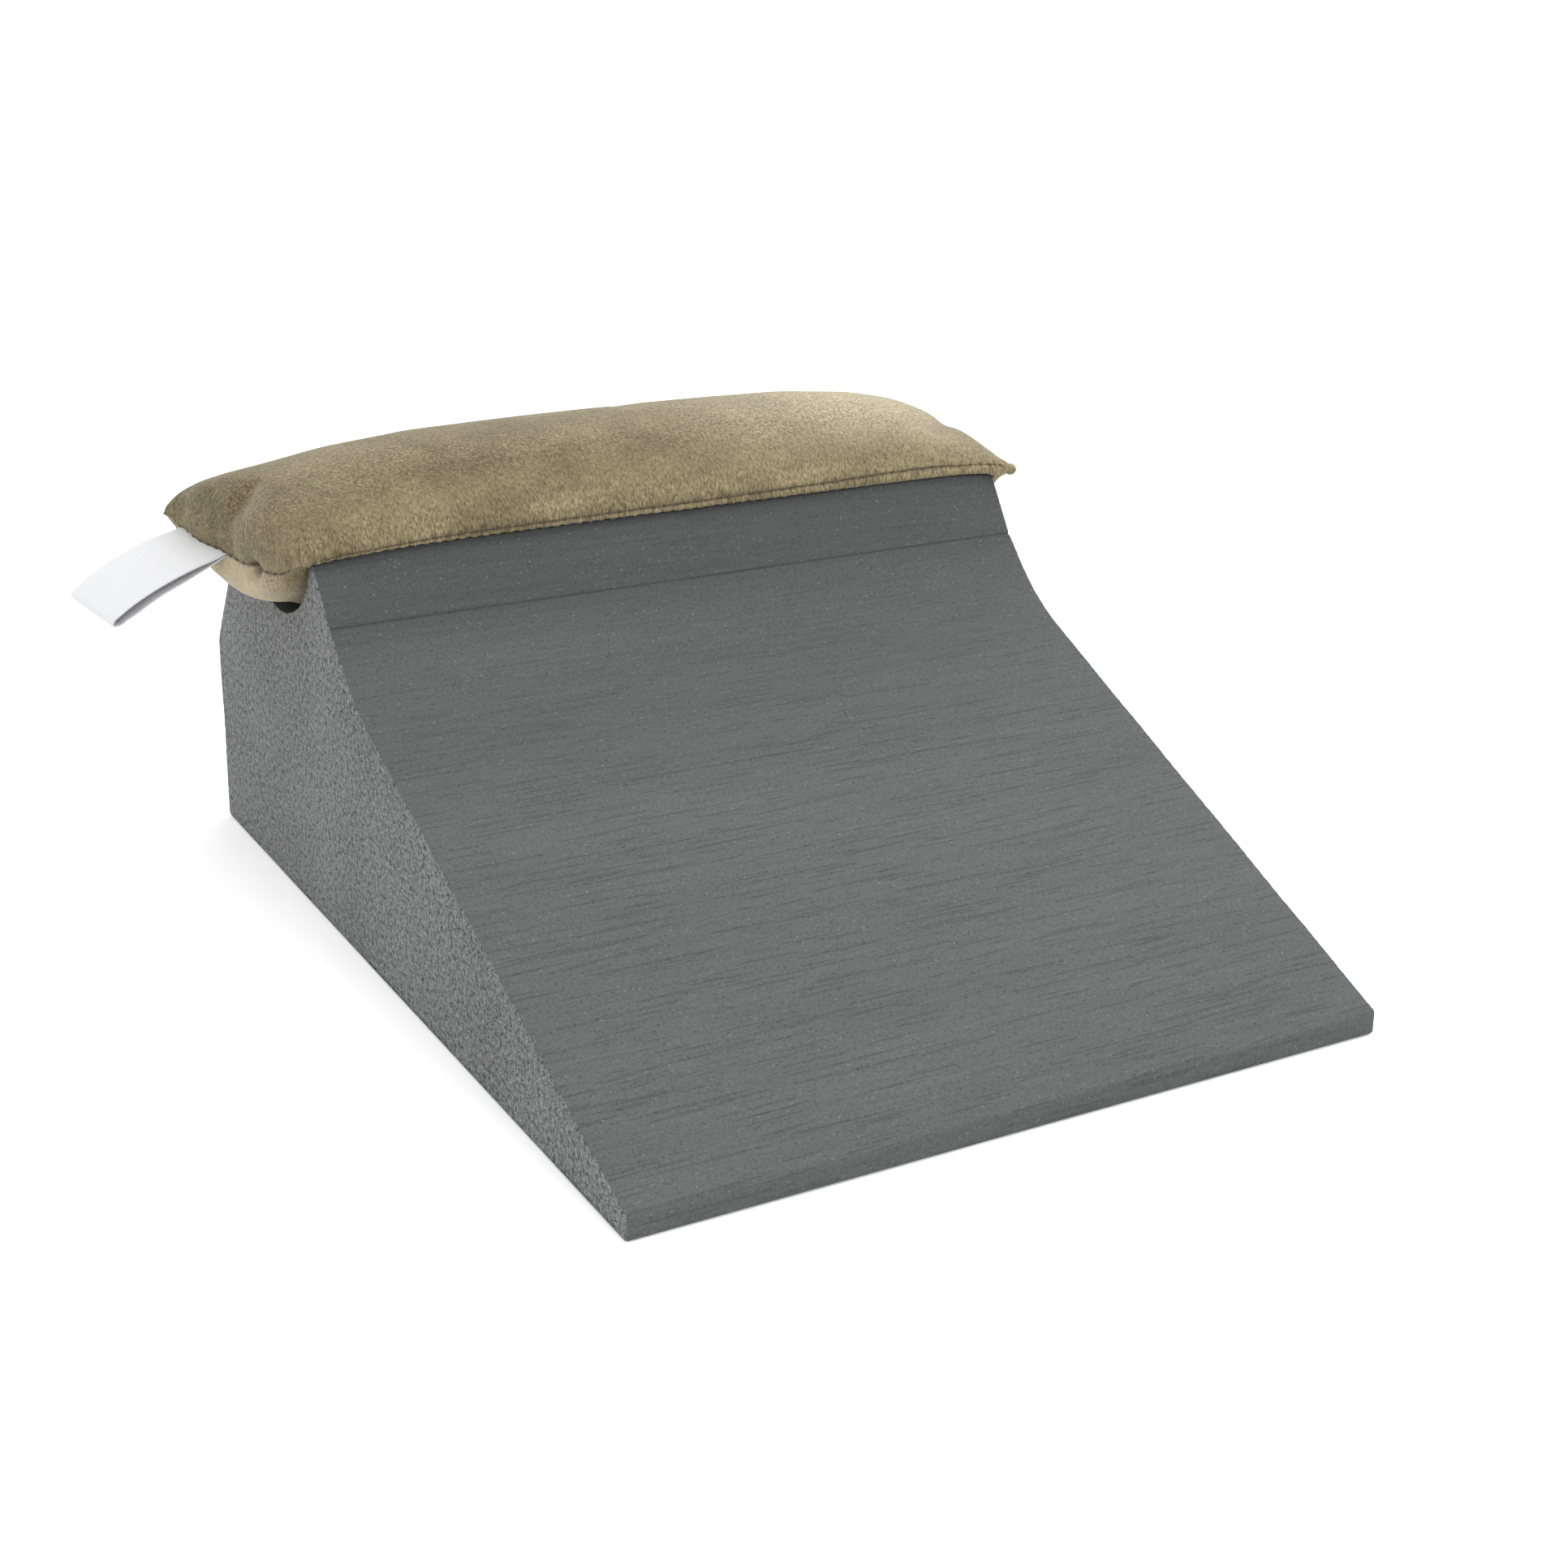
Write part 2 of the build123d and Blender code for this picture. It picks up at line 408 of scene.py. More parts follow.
def cap_ends(piece):
    """Closes both ends with flat faces and rounds their edges."""
    def at_left(edge):
        return edge.is_boundary and all(abs(vertex.co.x - foam_low.x) < TOUCH for vertex in edge.verts)

    def at_right(edge):
        return edge.is_boundary and all(abs(vertex.co.x - foam_high.x) < TOUCH for vertex in edge.verts)

    def on_rim(edge):
        return all(abs(vertex.co.x) > foam_high.x - TOUCH for vertex in edge.verts)

    for at_end in (at_left, at_right):
        select_where(piece, "EDGE", at_end)
        bpy.ops.mesh.edge_face_add()
    bpy.ops.mesh.select_all(action="SELECT")
    bpy.ops.mesh.normals_make_consistent(inside=False)
    select_where(piece, "EDGE", on_rim)
    bpy.ops.mesh.bevel(offset=0.0007, segments=2, profile=0.6)


def lip_rise(lengthwise):
    """How far the soft front lip stands above its ends, in millimetres, at a place along the block."""
    from_left, from_right = HALF_BLOCK + np.asarray(lengthwise), HALF_BLOCK - np.asarray(lengthwise)
    rise = LEFT_FALL * (1 - np.exp(-np.maximum(from_left, 0) / LEFT_FALL_LENGTH))
    fall = RIGHT_FALL * np.exp(-np.maximum(from_right, 0) / RIGHT_FALL_LENGTH)
    return np.clip(rise - fall, 0, None)


def cut_marks(piece):
    """Works the wire's fine ridges, slow waver and the crease's slit into the cut faces."""
    points, normals = points_of(piece), normals_of(piece)
    on_lip = (points[:, 1] < in_frame(CRADLE_MIDDLE)[0]) & (points[:, 2] > (CREASE.y + LIP_FOOT) * MM)
    part = np.clip((points[:, 2] / MM - CREASE.y - LIP_FOOT) / (LIP_TOP - CREASE.y - LIP_FOOT), 0, 1)
    points[:, 2] += np.where(on_lip, lip_rise(points[:, 0] / MM) * part, 0) * MM
    crease_y, crease_z = in_frame(CREASE)
    moved = []
    for point, normal in zip(points, normals):
        x, y, z = Vector(point) / MM
        long_ridge = noise.noise(Vector((x / 30, y / 1.3, z / 1.3)))
        short_ridge = noise.noise(Vector((x / 8, y / 0.8, z / 0.8)))
        ridge = long_ridge + 0.6 * short_ridge
        waver = noise.noise(Vector((x / 70, y / 22, z / 22)))
        slit = exp(-((hypot(point[1] - crease_y, point[2] - crease_z) / (SLIT_WIDTH * MM)) ** 2))
        on_base = point[2] < foam_low.z + 0.4 * MM
        push = 0 if on_base else RIDGE_DEPTH * ridge + WAVER_DEPTH * waver - SLIT_DEPTH * slit
        moved.append(Vector(point) + Vector(normal) * push * MM)
    set_points(piece, moved)


def make_foam_block():
    piece = foam_skin()
    cap_ends(piece)
    deselect()
    cut_marks(piece)
    piece.data.materials.append(foam_cut_finish())
    piece.data.materials.append(foam_side_finish())
    for face in piece.data.polygons:
        face.material_index = 1 if abs(face.normal.x) > 0.7 else 0
    smooth_by_angle(piece, 50)
    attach(piece, "wedge")
    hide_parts("foam_wedge")


# ---------------------------------------------------------------- plush and tape finishes

DIMPLE_PLACE = (-0.1062, 0.0640, 0.0910)
KHAKI_SHADED, KHAKI_LIT, KHAKI_PAINTED_HIGHLIGHT = (0.096, 0.076, 0.038, 1), (0.246, 0.200, 0.112, 1), (0.50, 0.44, 0.30, 1)
PALE_KHAKI_BOUNCE_LIT, CREVICE_SHADOW = (0.33, 0.28, 0.185, 1), (0.030, 0.023, 0.013, 1)
FIBRE_SHADOW, FIBRE_WHITE = (0.70, 0.69, 0.66, 1), (0.90, 0.89, 0.87, 1)
THREAD_SHADOW, THREAD_LIGHT = (0.040, 0.030, 0.018, 1), (0.090, 0.070, 0.040, 1)
TAPE_SHADOW, TAPE_WHITE = (0.46, 0.465, 0.475, 1), (0.60, 0.60, 0.612, 1)
RIB_PITCH, WARP_PITCH = 0.55, 0.42  # the tape's weave, in millimetres


def plush_finish(name, bounce_lit_left_end):
    """Short combed velour: mottled khaki, dark between the tufts, with painted light brighter to the right and
    at the top right; where the pile lies flat at the under panel's left end, it is painted paler with bounced
    light from below.
    """
    plush = Shader(name, Roughness=0.8, Specular_IOR_Level=0.15, Sheen_Weight=0.3, Sheen_Roughness=0.45)
    plush.surface.inputs["Sheen Tint"].default_value = (1.0, 0.93, 0.78, 1)
    place = plush.place()
    lengthwise, across, height_up = (plush.axis(place, axis) for axis in "XYZ")
    cloud = plush.noise(place, 24, 4, 0.6)
    patches = plush.noise(plush.scaled(place, (60, 75, 90)), 1.0, 4, 0.65)
    combed = plush.noise(plush.scaled(place, (2300, 1100, 620)), 1.0, 3, 0.6)
    tufts = plush.noise(plush.scaled(place, (1500, 1200, 1200)), 1.0, 3, 0.65)
    front = ((0.056 - across) * 90).clamped()
    pile = tufts + front * (combed - tufts)
    lit = plush.ramp(cloud * 0.5 + patches * 0.5, (0.40, 0.0), (0.62, 1.0))
    # painted light: a shaded and a lit copy of the khaki, mixed by the mottled patches, lighter towards the
    # right and near the front seam
    painted_light_rightward = (lengthwise * 4 + 0.40).clamped()
    painted_light_mix = (lit * 0.55 + painted_light_rightward * 0.40 + front * 0.25).clamped()
    tone = plush.mix(painted_light_mix, KHAKI_SHADED, KHAKI_LIT)
    # painted highlight: the top of the right half is brighter
    painted_highlight_top_right = (lengthwise * 11).clamped() * ((height_up - 0.106) * 90).clamped()
    tone = plush.mix(painted_highlight_top_right * 0.85, tone, KHAKI_PAINTED_HIGHLIGHT)
    if bounce_lit_left_end:
        # painted light: bounced light from below makes the flat pile at the left end of the under panel paler
        flat = ((-0.100 - lengthwise) * 300).clamped() * ((across - 0.050) * 70).clamped()
        tone = plush.mix(flat, tone, PALE_KHAKI_BOUNCE_LIT)
        pile = pile + flat * 0.75 * (0.5 - pile)
    contrast = plush.ramp(pile, (0.34, 0.46), (0.50, 0.95), (0.66, 1.52))
    seam_gap = plush.attribute("seam_gap", "Fac")
    to_dimple = plush.distance(place, DIMPLE_PLACE)
    # painted shade in the seam's crevice and in the dimple near the left end
    crevice_shade = (1.0 - seam_gap * 1.3).clamped() * 0.75
    dimple_shade = (1.45 - to_dimple * 420).clamped() * 0.8
    cloth = plush.mix(1.0, tone, contrast, "MULTIPLY")
    return plush.set(
        Base_Color=plush.mix((crevice_shade + dimple_shade).clamped(), cloth, CREVICE_SHADOW),
        Normal=plush.bump(pile + patches * 0.3, 0.0008, 0.8),
    )


def filling_finish():
    fibre = Shader("fibre_fill", Roughness=0.9, Specular_IOR_Level=0.1)
    place = fibre.place()
    wisps = fibre.noise(fibre.scaled(place, (300, 500, 700)), 1.0, 4, 0.7)
    colour = fibre.ramp(wisps, (0.3, FIBRE_SHADOW), (0.7, FIBRE_WHITE))
    return fibre.set(Base_Color=colour, Normal=fibre.bump(wisps, 0.001, 0.8))


def thread_finish():
    thread = Shader("seam_thread_dark", Roughness=0.7)
    twist = thread.noise(thread.place(), 3000, 2)
    colour = thread.ramp(twist, (0.3, THREAD_SHADOW), (0.7, THREAD_LIGHT))
    return thread.set(Base_Color=colour, Normal=thread.bump(twist, 0.0002, 0.6))


def tape_finish():
    """A white woven tape: fine ribs across it, crossed by the warp, slightly uneven."""
    tape = Shader("white_tape", Roughness=0.6, Specular_IOR_Level=0.35, Sheen_Weight=0.15)
    weave = tape.attribute("tape_place", "Vector")
    lengthwise, across = tape.axis(weave, "X"), tape.axis(weave, "Y")
    ribs = (lengthwise * (2 * pi / RIB_PITCH)).math("SINE")
    warp = (across * (2 * pi / WARP_PITCH)).math("SINE")
    fibres = tape.noise(tape.scaled(weave, (6, 1.2, 1)), 1.0, 3, 0.6)
    height = ribs * 0.35 + warp * 0.2 + fibres * 0.5
    shade = tape.ramp(height * 0.3 + 0.5, (0.25, TAPE_SHADOW), (0.65, TAPE_WHITE))
    return tape.set(Base_Color=shade, Normal=tape.bump(height, 0.0001, 0.7))


# ---------------------------------------------------------------- bolster: its seams and rough shape

FRONT_SEAM = [  # places along a seam, in millimetres in the row frame
    (-103.5, 44.5, 96.4), (-100.5, 42.6, 97.2), (-95, 42.3, 98.1), (-73, 42.2, 99.6), (-33, 42.2, 100.3),
    (0, 42.3, 100.6), (38, 42.3, 101.2), (88, 42.6, 101.7), (98, 42.8, 101.0), (102, 42.6, 99.9),
    (105.2, 42.8, 98.4),
]
BACK_SEAM = [
    (-120.5, 101.5, 97.2), (-114, 101.8, 97.6), (-100, 102.4, 98.6), (-60, 103.2, 99.6), (0, 103.6, 100.0),
    (60, 103.2, 99.6), (100, 102.2, 98.6), (113, 101.2, 97.2), (119.5, 100.2, 96.0),
]
LEFT_SEAM = [
    (-103.5, 44.5, 96.4), (-105.6, 49, 93.0), (-107.2, 54, 90.7), (-109, 60, 89.8), (-110.6, 69, 88.9),
    (-112.6, 78, 90.2), (-116.2, 88, 92.0), (-118, 96, 93.8), (-120.5, 101.5, 97.2),
]
RIGHT_SEAM = [(105.2, 42.8, 98.4), (111, 58, 97), (116, 75, 96.5), (118.6, 90, 96), (119.5, 100.2, 96.0)]
SEAM_CORNERS = [FRONT_SEAM[0], FRONT_SEAM[-1], BACK_SEAM[0], BACK_SEAM[-1]]
CROWN = [  # place along the bolster, and the crown's height
    (-118, 107.6), (-113, 110.8), (-107, 112.2), (-99, 113.6), (-90, 115.2), (-80, 117.0), (-60, 118.9),
    (0, 119.7), (50, 118.8), (73, 116.7), (87, 113.7), (95, 110.2), (104, 105.4), (110, 102.2), (115, 99),
]
SEAT_GAP = 0.35
PUFF_ROOM = 2.6  # what the crown will gain as the bag is filled
COLUMNS, ROWS = 150, 44
END_CROWDING = 0.3  # how much closer together the columns are at the ends
END_PULL = 14  # how late the net bends towards the end seams
TOP_BLUNTNESS, BELLY_BLUNTNESS = (70, 40), (34, 12)  # at the left end and the right end
CREST_SHARE, LEAST_RISE, BACK_LEAN = 0.58, 0.6, 2.5  # where the top panel is highest, and how it leans back
SEAM_SHARE = 0.08  # how much of the belly next to each seam follows that seam


def smooth_path(points):
    """A rounded path through given places; reads a place at each share of its length."""
    points = np.array(points, float)
    steps = np.linalg.norm(np.diff(points, axis=0), axis=1)
    shares = np.concatenate([[0], np.cumsum(steps)]) / steps.sum()
    slopes = np.gradient(points, shares, axis=0)

    def read(share):
        share = np.clip(np.asarray(share, float), 0, 1)
        i = np.clip(np.searchsorted(shares, share, side="right") - 1, 0, len(shares) - 2)
        span = (shares[i + 1] - shares[i])[..., None]
        t = ((share - shares[i]) / (shares[i + 1] - shares[i]))[..., None]
        a, b, c, d = points[i], points[i + 1], slopes[i] * span, slopes[i + 1] * span
        return a + c * t + (3 * (b - a) - 2 * c - d) * t**2 + (2 * (a - b) + c + d) * t**3

    return read


front_seam, back_seam = smooth_path(FRONT_SEAM), smooth_path(BACK_SEAM)
left_seam, right_seam = smooth_path(LEFT_SEAM), smooth_path(RIGHT_SEAM)


def seam_net(along, across):
    """The flat net stretched between the four seams; along is -1 to 1, across is 0 to 1."""
    front, back = front_seam((along + 1) / 2), back_seam((along + 1) / 2)
    chord = front + (back - front) * across[:, None]
    for sign, seam in ((-1, left_seam), (1, right_seam)):
        corner_chord = seam(0.0) + (seam(1.0) - seam(0.0)) * across[:, None]
        pull = np.clip(along * sign, 0, 1) ** END_PULL
        chord = chord + (seam(across) - corner_chord) * pull[:, None]
    return chord


def spread(across):
    """Shares from the front seam to the back one, closer together near both."""
    return (1 - np.cos(across * pi)) / 2


def end_fade(along, bluntness):
    """1 along the bolster, falling to 0 at the end seams; the larger each end's bluntness, the later."""
    left, right = (np.sqrt(np.clip(1 - np.abs(along) ** power, 0, 1)) for power in bluntness)
    return np.where(along < 0, left, right)


def top_shape(along, across):
    """The upper panel: an arch from seam to seam, as high as the crown's line."""
    arch = np.sin(across * pi)
    shape = seam_net(along, spread(across))
    crest = seam_net(along, np.full_like(across, CREST_SHARE))
    fade = end_fade(along, TOP_BLUNTNESS)
    rise = np.maximum(np.interp(crest[:, 0], *zip(*CROWN)) - PUFF_ROOM - crest[:, 2], LEAST_RISE) * fade
    shape[:, 2] += rise * arch**1.1
    shape[:, 1] += BACK_LEAN * fade * arch**2
    return shape


def trough_line():
    """The belly's line across the bolster: down off the seam, over the lips and round the cradle."""
    radius = CRADLE_RADIUS - SEAT_GAP
    middle_y, middle_z = foam_low.y / MM + CRADLE_MIDDLE.x, CRADLE_MIDDLE.y
    end_angle = atan2(sqrt(radius**2 - (middle_z - LIP_TOP - SEAT_GAP) ** 2), middle_z - LIP_TOP - SEAT_GAP)
    angles = np.linspace(-end_angle, end_angle, 40)
    arc = [(middle_y + radius * sin(a), middle_z - radius * cos(a)) for a in angles]
    front, back = (42.3, 101.0), (103.5, 100.0)
    return [front, (42.8, 98.4), (44.6, 96.8), *arc, (101.2, 96.8), (102.9, 98.0), back]


def belly_shape(along, across):
    """The lower panel: the trough's line all along, drawn to the seams at its four sides."""
    net = seam_net(along, spread(across))
    front, back = front_seam((along + 1) / 2), back_seam((along + 1) / 2)
    line = smooth_path(trough_line())
    deep, ends = line(across), line([0.0, 1.0])
    for seam, end, distance in ((front, ends[0], across), (back, ends[1], 1 - across)):
        deep = deep + (seam[:, 1:] - end) * np.clip(1 - distance / SEAM_SHARE, 0, 1)[:, None]
    share = np.clip((deep[:, 0] - front[:, 1]) / (back[:, 1] - front[:, 1]), 0, 1)
    lengthwise = front[:, 0] + (back[:, 0] - front[:, 0]) * share
    deep = np.column_stack([lengthwise, deep])
    return net + (deep - net) * end_fade(along, BELLY_BLUNTNESS)[:, None]


def panel(name, shape):
    """One cloth panel: a grid laid over its shape."""
    deselect()
    bpy.ops.mesh.primitive_grid_add(x_subdivisions=COLUMNS, y_subdivisions=ROWS, size=2)
    piece = bpy.context.active_object
    piece.name = name
    grid = points_of(piece)
    along = (1 + END_CROWDING) * grid[:, 0] - END_CROWDING * grid[:, 0] ** 3
    set_points(piece, shape(along, (grid[:, 1] + 1) / 2) * MM)
    return piece


# ---------------------------------------------------------------- bolster: filling it out

TOP_PUFF, UNDER_PUFF = 3.4, 1.0  # how far the filling may push each panel, in millimetres
FRAMES = 20
CLOTH_SCALE = 10  # the bag is this much larger while it is simulated
CROWN_START, CROWN_FADE = 104, 6  # the height above which the filled bag is evened out
LEFT_LIFT = 3.0  # how far the belly rides up past the cradle's left end
LIP_BLEND, END_BLEND = 0.2, 0.8  # how far past the lips' edges and the block's ends the bag is kept clear


def sew_panels():
    """The two panels joined along their edges into one closed bag."""
    top, under = panel("bag", top_shape), panel("bag_under", belly_shape)
    under.data.flip_normals()
    top.data.materials.append(plush_finish("plush_khaki", bounce_lit_left_end=False))
    under.data.materials.append(plush_finish("plush_khaki_bounce_lit", bounce_lit_left_end=True))
    pick(top)
    under.select_set(True)
    bpy.ops.object.join()
    bpy.ops.object.mode_set(mode="EDIT")
    bpy.ops.mesh.select_all(action="SELECT")
    bpy.ops.mesh.remove_doubles(threshold=0.0001)
    bpy.ops.object.mode_set(mode="OBJECT")
    return top


def touches(piece, panel_number):
    """Which vertices touch a panel: 0 is the top one and 1 the one beneath."""
    touched = np.zeros(len(piece.data.vertices), bool)
    for face in piece.data.polygons:
        if face.material_index == panel_number:
            touched[list(face.vertices)] = True
    return touched


def clear_of_foam(points):
    """Keeps the bag just off the cradle and the lips while it is over the block."""
    points = points.copy()
    middle = np.array([foam_low.y / MM + CRADLE_MIDDLE.x, CRADLE_MIDDLE.y]) * MM
    over_block = np.abs(points[:, 0]) < foam_high.x + END_BLEND * MM
    offset = points[:, 1:] - middle
    reach = np.linalg.norm(offset, axis=1)
    limit = (CRADLE_RADIUS - SEAT_GAP) * MM
    mouth = sqrt(limit**2 - (middle[1] - (LIP_TOP + SEAT_GAP) * MM) ** 2)
    rise = np.where(offset[:, 0] < 0, lip_rise(points[:, 0] / MM), 0) * MM
    over_lip = np.abs(offset[:, 0]) > mouth - LIP_BLEND * MM
    low = over_block & (points[:, 2] < (LIP_TOP + SEAT_GAP) * MM + rise * over_lip)
    in_cradle = low & (np.abs(offset[:, 0]) < mouth + LIP_BLEND * MM)
    too_far = in_cradle & (reach > limit)
    points[too_far, 1:] = middle + offset[too_far] * (limit / reach[too_far])[:, None]
    on_lips = low & ~in_cradle
    points[on_lips, 2] = ((LIP_TOP + SEAT_GAP) * MM + rise)[on_lips]
    return points


def puff_up(bag):
    """Inflates the bag as cloth, held along its seam, and caps how far any point may go."""
    rough = points_of(bag)
    seam = bag.vertex_groups.new(name="seam")
    top_side, under_side = touches(bag, 0), touches(bag, 1)
    seam.add([int(i) for i in np.flatnonzero(top_side & under_side)], 1.0, "REPLACE")
    set_points(bag, rough * CLOTH_SCALE)
    pick(bag)
    cloth = bag.modifiers.new("Cloth", "CLOTH")
    cloth.settings.quality = 6
    cloth.settings.mass = 0.3
    cloth.settings.tension_stiffness = cloth.settings.compression_stiffness = 15
    cloth.settings.shear_stiffness = 5
    cloth.settings.bending_stiffness = 0.4
    cloth.settings.shrink_min = -0.012
    cloth.settings.vertex_group_mass = "seam"
    cloth.settings.pin_stiffness = 1.0
    cloth.settings.use_pressure = True
    cloth.settings.uniform_pressure_force = 4.0
    cloth.settings.effector_weights.gravity = 0.0
    cloth.collision_settings.use_collision = False
    cloth.point_cache.frame_start, cloth.point_cache.frame_end = 1, FRAMES
    for frame_number in range(1, FRAMES + 1):
        bpy.context.scene.frame_set(frame_number)
    bpy.ops.object.modifier_apply(modifier=cloth.name)
    bpy.context.scene.frame_set(1)
    moved = points_of(bag) / CLOTH_SCALE - rough
    far = np.linalg.norm(moved, axis=1)
    limit = np.where(under_side, UNDER_PUFF, TOP_PUFF) * MM
    scale = np.where(far > 1e-9, limit * np.tanh(far / limit) / np.maximum(far, 1e-9), 1.0)
    set_points(bag, clear_of_foam(rough + moved * scale[:, None]))
    crown = bag.vertex_groups.new(name="crown")
    for index, height in enumerate(rough[:, 2] / MM - CROWN_START):
        crown.add([index], float(np.clip(height / CROWN_FADE, 0, 1)), "REPLACE")
    finish_modifier(bag, "SMOOTH", factor=0.5, iterations=10, vertex_group="crown")


def lift_left_end(bag):
    """The belly rides up a little where it leaves the cradle at the left."""
    points = points_of(bag)
    past = np.clip((-points[:, 0] / MM - 90) / 12, 0, 1)
    lower = np.clip((92 - points[:, 2] / MM) / 8, 0, 1)
    backward = np.clip((points[:, 1] / MM - 44) / 20, 0.35, 1)
    points[:, 2] += LEFT_LIFT * MM * past**2 * (3 - 2 * past) * lower * backward
    set_points(bag, points)


def path_distance(points, path):
    """Each point's distance to a rounded path, in millimetres."""
    line = smooth_path(path)(np.linspace(0, 1, 60)) * MM
    return np.linalg.norm(points[:, None, :] - line[None, :, :], axis=2).min(axis=1) / MM


def bell(distance, width):
    """1 at no distance, fading to nearly 0 at twice the width."""
    return np.exp(-((distance / width) ** 2))


FOLDS = [  # depth and half-width in millimetres, and the fold's path
    (1.6, 2.6, [
        (-105, 74, 110.3), (-109.1, 73.2, 103.7), (-110.7, 73.9, 99.5), (-111.5, 75.1, 95.0), (-111, 75.4, 92),
    ]),
    (0.6, 1.2, [(-108, 88, 109), (-114, 92.6, 103.8), (-116.3, 93.8, 101), (-117.4, 96.5, 97.5)]),
    (0.7, 0.9, [(-111.0, 79.2, 103), (-112.0, 79.5, 101.2), (-112.6, 80.0, 99.2), (-112.9, 80.6, 96.8)]),
    (0.8, 1.6, [(-101, 46, 103), (-103, 46, 99.5), (-103.5, 45.5, 97)]),
    (1.5, 3.6, [(86, 54, 110), (97, 66, 109.5), (107, 78, 106), (113, 88, 102)]),
    (0.6, 1.6, [(101, 46, 104), (104, 44.5, 101), (106, 43, 99)]),
]
# each of these has its depth, its half-width and its path, as a fold has
DIMPLE = (4.2, 1.7, [(-109.2, 64.4, 90.3), (-108.8, 63.2, 90.5), (-108.5, 62.2, 90.7)])
HANGING_CORNER = (2.0, 2.6, [(-101.5, 49, 86.5), (-101, 46.5, 85.5), (-100.9, 45.5, 85.0)])
EAR = (1.5, 3.2, [(101, 43.5, 99.2), (103, 43.6, 98.9), (104.8, 43.6, 98.6)])
DIMPLE_INWARD, CORNER_DROOP = (0.93, 0.30, 0.20), (0.0, -0.5, -0.85)
STITCH_PITCH = 3.2
GROOVE, GROOVE_WIDTH = 1.1, 1.0  # how far the stitches draw the cloth in, and how near the seam
PUCKER, PUCKER_PLACE, PUCKER_WIDTH = 0.35, 1.2, 1.8
CORNER_REACH = 4  # how near a corner the groove fades out


def seam_loop(piece):
    """The seam's vertices in order round the bag, from the front left corner."""
    both = set(np.flatnonzero(touches(piece, 0) & touches(piece, 1)).tolist())
    beside = {i: [] for i in both}
    for edge in piece.data.edges:
        a, b = edge.vertices
        if a in both and b in both:
            beside[a].append(b)
            beside[b].append(a)
    start = min(both, key=lambda i: (piece.data.vertices[i].co - Vector(FRONT_SEAM[0]) * MM).length)
    loop, last = [start], None
    while True:
        onward = [i for i in beside[loop[-1]] if i != last]
        last = loop[-1]
        if onward[0] == start or (len(loop) > 2 and start in onward):
            return loop
        loop.append(onward[0])


def arc_lengths(line):
    """The distance along a closed line of points to each of them, in millimetres, and its whole length."""
    steps = np.linalg.norm(np.roll(line, -1, axis=0) - line, axis=1) / MM
    return np.concatenate([[0], np.cumsum(steps)[:-1]]), steps.sum()


def tree_of(line):
    """A search tree that finds the nearest of some points."""
    tree = KDTree(len(line))
    for i, point in enumerate(line):
        tree.insert(point, i)
    tree.balance()
    return tree


def gather_seam(bag):
    """Draws the seam in, puckers the cloth at every stitch and presses the folds."""
    points, normals = points_of(bag), normals_of(bag)
    line = points[seam_loop(bag)]
    lengths, whole = arc_lengths(line)
    tree = tree_of(line)
    nearest = [tree.find(point) for point in points]
    gap = np.array([found[2] for found in nearest]) / MM
    along = lengths[[found[1] for found in nearest]]
    pitch = whole / round(whole / STITCH_PITCH)
    gather = 0.5 * (1 + np.cos(2 * pi * along / pitch))
    corners = np.array(SEAM_CORNERS) * MM
    to_corner = np.linalg.norm(points[:, None, :] - corners[None], axis=2).min(axis=1) / MM
    near_corner = bell(to_corner, CORNER_REACH)
    # the distance to the seam, stored for the painted shade along it; raised near the corners so that the shade
    # fades there
    gaps = bag.data.attributes.new("seam_gap", "FLOAT", "POINT")
    gaps.data.foreach_set("value", gap + 2 * near_corner)
    groove = GROOVE * bell(gap, GROOVE_WIDTH) * (1 - near_corner)
    pucker = PUCKER * gather * bell(gap - PUCKER_PLACE, PUCKER_WIDTH) * (gap > 0)
    push = -groove - pucker
    for depth, width, path in FOLDS:
        push -= depth * bell(path_distance(points, path), width) * np.clip(gap / 2, 0, 1)
    depth, width, path = DIMPLE
    points = points + np.outer(bell(path_distance(points, path), width) * depth * MM, DIMPLE_INWARD)
    depth, width, path = HANGING_CORNER
    hang = bell(path_distance(points, path), width) * touches(bag, 1)
    points = points + np.outer(hang * depth * MM, CORNER_DROOP)
    height, width, path = EAR
    push += height * bell(path_distance(points, path), width)
    set_points(bag, clear_of_foam(points + normals * (push * MM)[:, None]))


def make_bag():
    """The closed bag of both panels, filled out and made fine enough for its folds."""
    bag = sew_panels()
    puff_up(bag)
    lift_left_end(bag)
    finish_modifier(bag, "SUBSURF", levels=1, render_levels=1)
    return bag


CLOTH_THICKNESS, HEM_WIDTH = 1.0, 5  # the cloth is thinner within the hem's width of the seam
FILLING_HEIGHT = 98.5  # the height about which the filling shrinks
FILLING_SHARE, FILLING_LUMPS, LUMP_SIZE = (0.92, 0.86, 0.84), 0.03, 16
THREAD_RADIUS, THREAD_CHAMFER, THREAD_STAND = 0.00026, 0.00012, 0.00015  # in metres
STITCH_SPAN = (0.62, 0.98)  # where a stitch starts and ends within its pitch
BARE_CORNER = 3  # no stitch starts nearer to a corner than this


